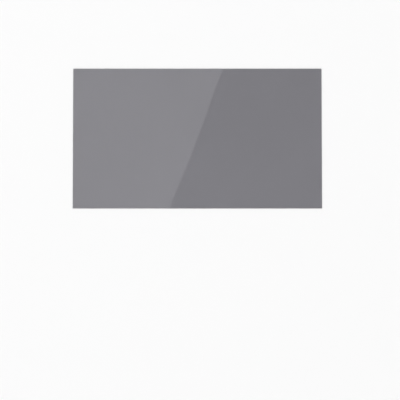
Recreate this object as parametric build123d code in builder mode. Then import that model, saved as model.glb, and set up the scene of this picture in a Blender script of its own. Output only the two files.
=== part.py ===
from build123d import *
import os

# Driving dimensions, in millimetres
sheet_width = 344.0  # left to right, across a 15.6 inch screen of 16:9
sheet_height = 194.0  # lower edge to upper edge
sheet_thickness = 0.53  # the whole bonded laminate, with its hard coats
corner_radius = 0.5  # the cutting die's corners are almost square
edge_roll = 0.1  # rounded edge on the viewing side, where the die goes in
edge_bevel = 0.05  # fine bevel on the screen side, where the die comes out

# The filter is one flat laminated sheet, cut in a single stroke.
# It lies on its screen side: +X is the viewer's right, +Y its upper edge, +Z its viewing side.
with BuildPart() as filter_sheet:
    # Outline that the die cuts, the same all the way through the sheet
    with BuildSketch(Plane.XY):
        RectangleRounded(sheet_width, sheet_height, corner_radius)
    extrude(amount=sheet_thickness)

    # Cut edge: the viewing side is drawn down into a small round
    viewing_side = filter_sheet.faces().sort_by(Axis.Z)[-1]
    fillet(viewing_side.outer_wire().edges(), radius=edge_roll)

    # The screen side is left with a fine bevel, so that it lies flat with no burr
    screen_side = filter_sheet.faces().sort_by(Axis.Z)[0]
    chamfer(screen_side.outer_wire().edges(), length=edge_bevel)

filter_sheet.part.label = "filter_sheet"

os.makedirs("parts", exist_ok=True)
export_step(filter_sheet.part, "parts/filter_sheet.step")
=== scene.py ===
import math

import bmesh
import bpy
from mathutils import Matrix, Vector


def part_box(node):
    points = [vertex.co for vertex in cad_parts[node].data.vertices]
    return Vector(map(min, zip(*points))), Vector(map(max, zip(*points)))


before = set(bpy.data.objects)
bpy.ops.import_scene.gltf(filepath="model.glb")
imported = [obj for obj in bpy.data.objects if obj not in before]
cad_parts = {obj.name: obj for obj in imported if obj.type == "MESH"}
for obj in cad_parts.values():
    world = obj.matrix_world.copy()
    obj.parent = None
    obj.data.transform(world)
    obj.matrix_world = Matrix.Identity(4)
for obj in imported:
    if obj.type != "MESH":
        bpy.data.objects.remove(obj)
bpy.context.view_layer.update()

scene = bpy.context.scene
scene.view_settings.view_transform = "Standard"
print("sheet loaded:", sorted(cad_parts))


def linkObject(name, data):
    made = bpy.data.objects.new(name, data)
    scene.collection.objects.link(made)
    return made


def blankMaterial(name):
    made = bpy.data.materials.new(name)
    made.use_nodes = True
    made.node_tree.nodes.clear()
    return made, made.node_tree


def addNode(tree, kind, settings=None, **sockets):
    node = tree.nodes.new(kind)
    for key, value in (settings or {}).items():
        setattr(node, key, value)
    for key, value in sockets.items():
        socket = node.inputs[key.replace("_", " ")]
        if isinstance(value, bpy.types.NodeSocket):
            tree.links.new(value, socket)
        else:
            socket.default_value = value
    return node


def noise(tree, place, scale, detail):
    return addNode(tree, "ShaderNodeTexNoise", Vector=place, Scale=scale, Detail=detail).outputs["Fac"]


def spread(tree, value, low, high):
    return addNode(tree, "ShaderNodeMapRange", Value=value, To_Min=low, To_Max=high).outputs["Result"]


def surface(tree, shader):
    addNode(tree, "ShaderNodeOutputMaterial", Surface=shader.outputs[0])


# Smoked film

film = {
    "tint": (0.796, 0.792, 0.812),  # share of light that each face lets through, head on
    "shut": 0.75,  # how fast the louvres close as a ray leans over
    "cloud": 0.012,  # unevenness of the tint, as a share
    "cloudNoise": (5.0, 2.0),  # scale and detail, as for each noise below
    "louvreColour": (0.012, 0.012, 0.014, 1.0),
    "coatIndex": 1.5,
    "gloss": (0.006, 0.014),  # roughness of the hard coat, clean to smudged
    "smudgeNoise": (9.0, 4.0),
    "waveNoise": (1.0, 0.0),
    "waveStretch": (2.0, 9.0, 1.0),  # slow waves, long across the sheet and shorter up it
    "waveHeight": 0.00025,  # metres
}


def smokedFilm():
    material, tree = blankMaterial("smokedFilm")
    place = addNode(tree, "ShaderNodeTexCoord").outputs["Object"]

    # what shows through: a little cloudy, and less of it as a ray leans over and meets the louvres
    cloud = spread(tree, noise(tree, place, *film["cloudNoise"]), 1 - film["cloud"], 1 + film["cloud"])
    lean = addNode(tree, "ShaderNodeLayerWeight", Blend=film["shut"]).outputs["Facing"]
    opening = spread(tree, lean, cloud, 0.0)
    tint = addNode(tree, "ShaderNodeVectorMath", {"operation": "SCALE"}, Vector=film["tint"], Scale=opening)
    clear = addNode(tree, "ShaderNodeBsdfTransparent", Color=tint.outputs["Vector"])

    # what the sheet itself shows: black louvres under a clear hard coat with slow waves and faint smudges
    drawn = addNode(tree, "ShaderNodeMapping", Vector=place, Scale=film["waveStretch"]).outputs["Vector"]
    wave = addNode(tree, "ShaderNodeBump", Height=noise(tree, drawn, *film["waveNoise"]),
                   Distance=film["waveHeight"])
    smudge = spread(tree, noise(tree, place, *film["smudgeNoise"]), *film["gloss"])
    coat = addNode(tree, "ShaderNodeBsdfPrincipled", Base_Color=film["louvreColour"], IOR=film["coatIndex"],
                   Roughness=smudge, Normal=wave.outputs["Normal"])

    both = addNode(tree, "ShaderNodeAddShader")
    tree.links.new(clear.outputs[0], both.inputs[0])
    tree.links.new(coat.outputs[0], both.inputs[1])
    surface(tree, both)
    return material


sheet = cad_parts["filter_sheet"]
sheet.data.materials.clear()
sheet.data.materials.append(smokedFilm())
print("smoked film on the sheet")


# Floor and backdrop in one round cove

cove = {
    "radius": 4.2,  # of the flat floor
    "bend": 0.9,  # radius of the sweep up into the wall
    "height": 1.0,
    "drop": 0.0001,  # the floor lies this far under the sheet, so that the two faces don't fight
    "turns": 96,
    "bendSteps": 10,
    "colour": (0.95, 0.95, 0.95, 1.0),
    "grainNoise": (900.0, 3.0),
    "grainHeight": 0.00002,  # metres
    "weld": 0.00001,  # joins the points that the turns leave in the middle
}


def paleFloor():
    material, tree = blankMaterial("paleFloor")
    place = addNode(tree, "ShaderNodeTexCoord").outputs["Object"]
    grain = addNode(tree, "ShaderNodeBump", Height=noise(tree, place, *cove["grainNoise"]),
                    Distance=cove["grainHeight"])
    pale = addNode(tree, "ShaderNodeBsdfDiffuse", Color=cove["colour"], Normal=grain.outputs["Normal"])
    surface(tree, pale)
    return material


def makeCove():
    profile = [(0.0, 0.0), (cove["radius"], 0.0)]
    for step in range(1, cove["bendSteps"] + 1):
        angle = math.pi / 2 * step / cove["bendSteps"]
        out = cove["radius"] + cove["bend"] * math.sin(angle)
        profile.append((out, cove["bend"] * (1 - math.cos(angle))))
    profile.append((cove["radius"] + cove["bend"], cove["height"]))
    shape = bmesh.new()
    points = [shape.verts.new((out, 0.0, up - cove["drop"])) for out, up in profile]
    edges = [shape.edges.new(pair) for pair in zip(points, points[1:])]
    bmesh.ops.spin(shape, geom=points + edges, axis=(0, 0, 1), cent=(0, 0, 0), angle=2 * math.pi,
                   steps=cove["turns"], use_merge=True)
    bmesh.ops.remove_doubles(shape, verts=shape.verts, dist=cove["weld"])
    bmesh.ops.recalc_face_normals(shape, faces=shape.faces)
    mesh = bpy.data.meshes.new("cove")
    shape.to_mesh(mesh)
    shape.free()
    mesh.shade_smooth()
    mesh.materials.append(paleFloor())
    linkObject("cove", mesh)


makeCove()
print("cove built")


# Camera, straight above the sheet but for a small lean

picture = {
    "lens": 130.4,
    "distance": 2.0,
    "lean": 2.84,  # degrees from straight down, towards the sheet's lower edge
    "aim": (0.0036, -0.0853, 0.0),  # the floor point at the middle of the picture
}


def placeCamera():
    lean = math.radians(picture["lean"])
    camera = linkObject("camera", bpy.data.cameras.new("camera"))
    camera.data.lens = picture["lens"]
    backward = Vector((0.0, -math.sin(lean), math.cos(lean)))
    camera.location = Vector(picture["aim"]) + picture["distance"] * backward
    camera.rotation_euler = (lean, 0.0, 0.0)
    scene.camera = camera
    return camera


camera = placeCamera()
print("camera at", [round(value, 3) for value in camera.location])


# Soft studio light

# wide boxes, each from about one of the sheet's axes to past the next diagonal,
# so that from most sides the gloss shows an edge of one
lamps = {
    "backLeft": {"at": (-4.68, 2.49, 3.85), "size": (7.0, 2.8), "level": 0.95},
    "frontRight": {"at": (4.64, -2.68, 3.1), "size": (7.1, 2.9), "level": 0.75},
    "frontLeft": {"at": (-2.38, -4.58, 3.61), "size": (6.6, 2.2), "level": 0.5},
    "backRight": {"at": (2.38, 4.58, 3.61), "size": (6.6, 2.2), "level": 0.5},
}
overhead = {
    "glossTop": 0.036,  # where its mirrored edge crosses the sheet's upper edge, in x
    "glossFoot": -0.0378,  # and the sheet's lower edge
    "height": 2.7,
    "size": (1.4, 2.0),
    "level": 0.66,
}
sky = {
    "rim": 0.12,  # brightness at the horizon
    "top": 0.842,  # and overhead
    "rising": (0.15, 0.5),  # sines of the angles between which it goes from one to the other
}


def softbox(name, size, level):
    lamp = bpy.data.lights.new(name, "AREA")
    lamp.shape = "RECTANGLE"
    lamp.size, lamp.size_y = size
    lamp.energy = level * math.pi * size[0] * size[1]  # watts for this brightness of the box's face
    return linkObject(name, lamp)


def hangOverhead():
    low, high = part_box("filter_sheet")
    rise = (overhead["height"] - high[2]) / (camera.location.z - high[2])
    ends = []
    for x, y in ((overhead["glossTop"], high[1]), (overhead["glossFoot"], low[1])):
        spot = Vector((x, y))
        ends.append(spot + (spot - camera.location.xy) * rise)  # the camera's ray, mirrored up to the box
    along = (ends[0] - ends[1]).normalized()
    leftward = Vector((-along.y, along.x))
    middle = (ends[0] + ends[1]) / 2 + leftward * overhead["size"][0] / 2
    box = softbox("overhead", overhead["size"], overhead["level"])
    box.location = (*middle, overhead["height"])
    box.rotation_euler = (0.0, 0.0, math.atan2(-along.x, along.y))


def paleSky():
    world = bpy.data.worlds.new("paleSky")
    world.use_nodes = True
    tree = world.node_tree
    way = addNode(tree, "ShaderNodeTexCoord").outputs["Generated"]
    up = addNode(tree, "ShaderNodeSeparateXYZ", Vector=way).outputs["Z"]
    low, high = sky["rising"]
    rise = addNode(tree, "ShaderNodeMapRange", {"interpolation_type": "SMOOTHSTEP"}, Value=up,
                   From_Min=low, From_Max=high, To_Min=sky["rim"], To_Max=sky["top"])
    backdrop = tree.nodes["Background"]
    backdrop.inputs["Color"].default_value = (1.0, 1.0, 1.0, 1.0)
    tree.links.new(rise.outputs["Result"], backdrop.inputs["Strength"])
    scene.world = world


for name, place in lamps.items():
    box = softbox(name, place["size"], place["level"])
    box.location = place["at"]
    box.rotation_euler = (-box.location).to_track_quat("-Z", "Y").to_euler()  # faces the sheet
hangOverhead()
paleSky()
print("lamps and sky set")
